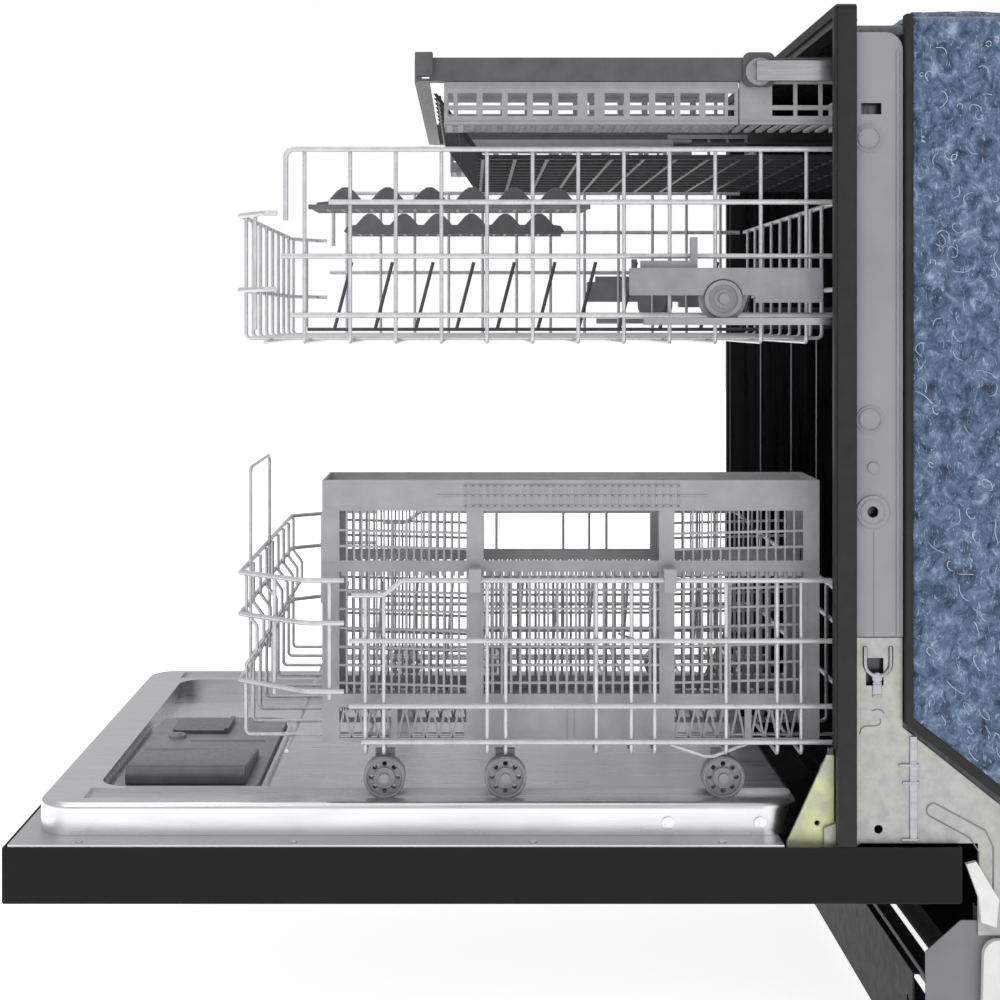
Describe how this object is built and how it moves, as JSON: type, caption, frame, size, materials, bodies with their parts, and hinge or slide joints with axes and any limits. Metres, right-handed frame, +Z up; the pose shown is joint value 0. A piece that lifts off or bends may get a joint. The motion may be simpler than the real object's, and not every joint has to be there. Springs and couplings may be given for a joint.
{
  "type": "built in dishwasher",
  "caption": "Built-in dishwasher with its door open flat and three racks pulled out: steel tub, wire racks on wheels, cutlery basket, top tray, spray arms, insulated sides.",
  "frame": {"origin": "bottom centre of the whole object with the door open and the racks out, on the floor", "axes": "+Z up, -Y towards the open door's far edge, +X to the side that shows the cutlery basket"},
  "size_m": [0.598, 1.217, 0.8591],
  "materials": {
    "tub_steel": "fine brushed",
    "liner_steel": "brushed along the width",
    "frame_steel": "satin galvanised",
    "hinge_steel": "galvanised with passivated patches",
    "hinge_arm_steel": "yellow passivated",
    "door_black": "satin black",
    "trim_black": "satin charcoal",
    "seal_rubber": "matte black",
    "felt": "recycled blue fibre felt",
    "base_dark": "matte dark grey",
    "kick_dark": "satin dark grey",
    "base_steel": "satin grey",
    "sump_plastic": "matte",
    "pump_dark": "matte",
    "white_plastic": "matte",
    "spring_steel": "drawn wire",
    "wire_coat": "satin silver nylon coat",
    "grey_plastic": "matte mid grey",
    "wheel_plastic": "matte dark grey",
    "dark_plastic": "matte charcoal",
    "band_plastic": "matte dark grey",
    "tray_plastic": "matte light grey",
    "lid_plastic": "semi-gloss dark grey",
    "button_plastic": "gloss black",
    "screw_steel": "bright"
  },
  "bodies": {
    "chassis": {"tub_shell": "tub_steel", "front_trim": "trim_black", "door_seal": "seal_rubber", "side_frames": "frame_steel", "insulation_blanket": "felt", "hinge_plates": "hinge_steel", "hinge_arms": "hinge_arm_steel", "base_frame": "base_steel", "base_tray": "base_dark", "kick_panel": "kick_dark", "levelling_feet": "dark_plastic", "sump": "sump_plastic", "filter_plate": "tub_steel", "circulation_pump": "pump_dark", "drain_pump": "pump_dark", "inlet_valve": "white_plastic", "drain_outlet": "white_plastic", "terminal_box": "pump_dark", "water_feed": "grey_plastic", "door_panel": "door_black", "control_panel": "door_black", "handle_pocket": "dark_plastic", "door_flange": "frame_steel", "door_liner": "liner_steel", "dispenser_housing": "grey_plastic", "door_latch": "screw_steel", "door_screws": "screw_steel", "corner_blocks": "seal_rubber", "door_springs": "spring_steel", "spring_guides": "white_plastic", "worktop_brackets": "frame_steel", "rack_rails": "tub_steel"},
    "lower_rack": {"lower_rack_frame": "wire_coat", "wheel_carriers": "wheel_plastic"},
    "upper_rack": {"upper_rack_frame": "wire_coat", "height_adjusters": "grey_plastic"},
    "third_rack": {"third_rack_frame": "band_plastic", "third_rack_trays": "tray_plastic", "third_rack_lattice": "dark_plastic"},
    "upper_slides": {"upper_rack_slides": "tub_steel"},
    "third_slides": {"third_rack_slides": "tub_steel"},
    "upper_rollers": {"upper_rack_rollers": "grey_plastic"},
    "third_rollers": {"third_rack_rollers": "grey_plastic"},
    "wheels_1": {"wheel_pair_1": "wheel_plastic"},
    "wheels_2": {"wheel_pair_2": "wheel_plastic"},
    "wheels_3": {"wheel_pair_3": "wheel_plastic"},
    "wheels_4": {"wheel_pair_4": "wheel_plastic"},
    "lower_tines": {"lower_tine_row": "wire_coat"},
    "upper_tines": {"upper_tine_row": "dark_plastic"},
    "basket": {"cutlery_basket": "grey_plastic"},
    "cup_shelf_l": {"cup_shelf_left": "dark_plastic"},
    "cup_shelf_r": {"cup_shelf_right": "dark_plastic"},
    "lower_arm": {"lower_spray_arm": "grey_plastic"},
    "middle_arm": {"middle_spray_arm": "grey_plastic"},
    "top_arm": {"top_spray_arm": "grey_plastic"},
    "filter": {"filter_cup": "grey_plastic"},
    "soap_lid": {"detergent_lid": "lid_plastic"},
    "rinse_lid": {"rinse_aid_lid": "lid_plastic"},
    "power": {"power_button": "button_plastic"},
    "start": {"start_button": "button_plastic"}
  },
  "joints": [
    {"name": "lower_rack_slide", "type": "slide", "parent": "chassis", "child": "lower_rack", "axis": [0, 1, 0], "range_m": [0, 0.5]},
    {"name": "upper_rack_slide", "type": "slide", "parent": "chassis", "child": "upper_rack", "axis": [0, 1, 0], "range_m": [0, 0.516]},
    {"name": "third_rack_slide", "type": "slide", "parent": "chassis", "child": "third_rack", "axis": [0, 1, 0], "range_m": [0, 0.365]},
    {"name": "upper_slides_travel", "type": "slide", "parent": "chassis", "child": "upper_slides", "axis": [0, 1, 0], "range_m": [0, 0.258]},
    {"name": "third_slides_travel", "type": "slide", "parent": "chassis", "child": "third_slides", "axis": [0, 1, 0], "range_m": [0, 0.1825]},
    {"name": "wheels_1_roll", "type": "hinge", "parent": "lower_rack", "child": "wheels_1", "pos_m": [0, -0.3095, 0.234], "axis": [1, 0, 0], "range_deg": [-1666.58, 0]},
    {"name": "wheels_2_roll", "type": "hinge", "parent": "lower_rack", "child": "wheels_2", "pos_m": [0, -0.2105, 0.234], "axis": [1, 0, 0], "range_deg": [-1666.58, 0]},
    {"name": "wheels_3_roll", "type": "hinge", "parent": "lower_rack", "child": "wheels_3", "pos_m": [0, -0.0325, 0.234], "axis": [1, 0, 0], "range_deg": [-1666.58, 0]},
    {"name": "wheels_4_roll", "type": "hinge", "parent": "lower_rack", "child": "wheels_4", "pos_m": [0, 0.0645, 0.234], "axis": [1, 0, 0], "range_deg": [-1666.58, 0]},
    {"name": "upper_rollers_roll", "type": "hinge", "parent": "upper_rack", "child": "upper_rollers", "pos_m": [0, -0.0355, 0.625], "axis": [1, 0, 0], "range_deg": [-1971.97, 0]},
    {"name": "third_rollers_roll", "type": "hinge", "parent": "third_rack", "child": "third_rollers", "pos_m": [0, -0.0065, 0.808], "axis": [1, 0, 0], "range_deg": [-1902.18, 0]},
    {"name": "basket_lift", "type": "slide", "parent": "lower_rack", "child": "basket", "axis": [0, 0, 1], "range_m": [0, 0.06]},
    {"name": "lower_tines_fold", "type": "hinge", "parent": "lower_rack", "child": "lower_tines", "pos_m": [-0.1, 0, 0.2654], "axis": [0, 1, 0], "range_deg": [0, 80]},
    {"name": "upper_tines_fold", "type": "hinge", "parent": "upper_rack", "child": "upper_tines", "pos_m": [0.06, 0, 0.5994], "axis": [0, -1, 0], "range_deg": [0, 80]},
    {"name": "cup_shelf_left_fold", "type": "hinge", "parent": "upper_rack", "child": "cup_shelf_l", "pos_m": [-0.2415, 0, 0.703], "axis": [0, -1, 0], "range_deg": [0, 70]},
    {"name": "cup_shelf_right_fold", "type": "hinge", "parent": "upper_rack", "child": "cup_shelf_r", "pos_m": [0.2415, 0, 0.703], "axis": [0, 1, 0], "range_deg": [0, 70]},
    {"name": "lower_arm_spin", "type": "hinge", "parent": "chassis", "child": "lower_arm", "pos_m": [0, 0.3505, 0.23], "axis": [0, 0, 1], "continuous": true},
    {"name": "middle_arm_spin", "type": "hinge", "parent": "chassis", "child": "middle_arm", "pos_m": [0, 0.3505, 0.56], "axis": [0, 0, 1], "continuous": true},
    {"name": "top_arm_spin", "type": "hinge", "parent": "chassis", "child": "top_arm", "pos_m": [0, 0.3505, 0.826], "axis": [0, 0, 1], "continuous": true},
    {"name": "filter_twist", "type": "hinge", "parent": "chassis", "child": "filter", "pos_m": [0, 0.3505, 0.16], "axis": [0, 0, 1], "range_deg": [0, 90]},
    {"name": "detergent_lid_slide", "type": "slide", "parent": "chassis", "child": "soap_lid", "axis": [-1, 0, 0], "range_m": [0, 0.05]},
    {"name": "rinse_lid_flip", "type": "hinge", "parent": "chassis", "child": "rinse_lid", "pos_m": [-0.018, -0.4715, 0.2175], "axis": [-1, 0, 0], "range_deg": [0, 100]},
    {"name": "power_button_press", "type": "slide", "parent": "chassis", "child": "power", "axis": [0, 0, 1], "range_m": [0, 0.0015], "stiffness_N_per_m": 300, "springref_m": -0.002},
    {"name": "start_button_press", "type": "slide", "parent": "chassis", "child": "start", "axis": [0, 0, 1], "range_m": [0, 0.0015], "stiffness_N_per_m": 300, "springref_m": -0.002}
  ],
  "couplings": [
    {"joint": "upper_slides_travel", "follows": "upper_rack_slide", "ratio": 0.5},
    {"joint": "third_slides_travel", "follows": "third_rack_slide", "ratio": 0.5},
    {"joint": "wheels_1_roll", "follows": "lower_rack_slide", "rad_per_m": -58.14},
    {"joint": "wheels_2_roll", "follows": "lower_rack_slide", "rad_per_m": -58.14},
    {"joint": "wheels_3_roll", "follows": "lower_rack_slide", "rad_per_m": -58.14},
    {"joint": "wheels_4_roll", "follows": "lower_rack_slide", "rad_per_m": -58.14},
    {"joint": "upper_rollers_roll", "follows": "upper_rack_slide", "rad_per_m": -66.667},
    {"joint": "third_rollers_roll", "follows": "third_rack_slide", "rad_per_m": -90.909}
  ]
}
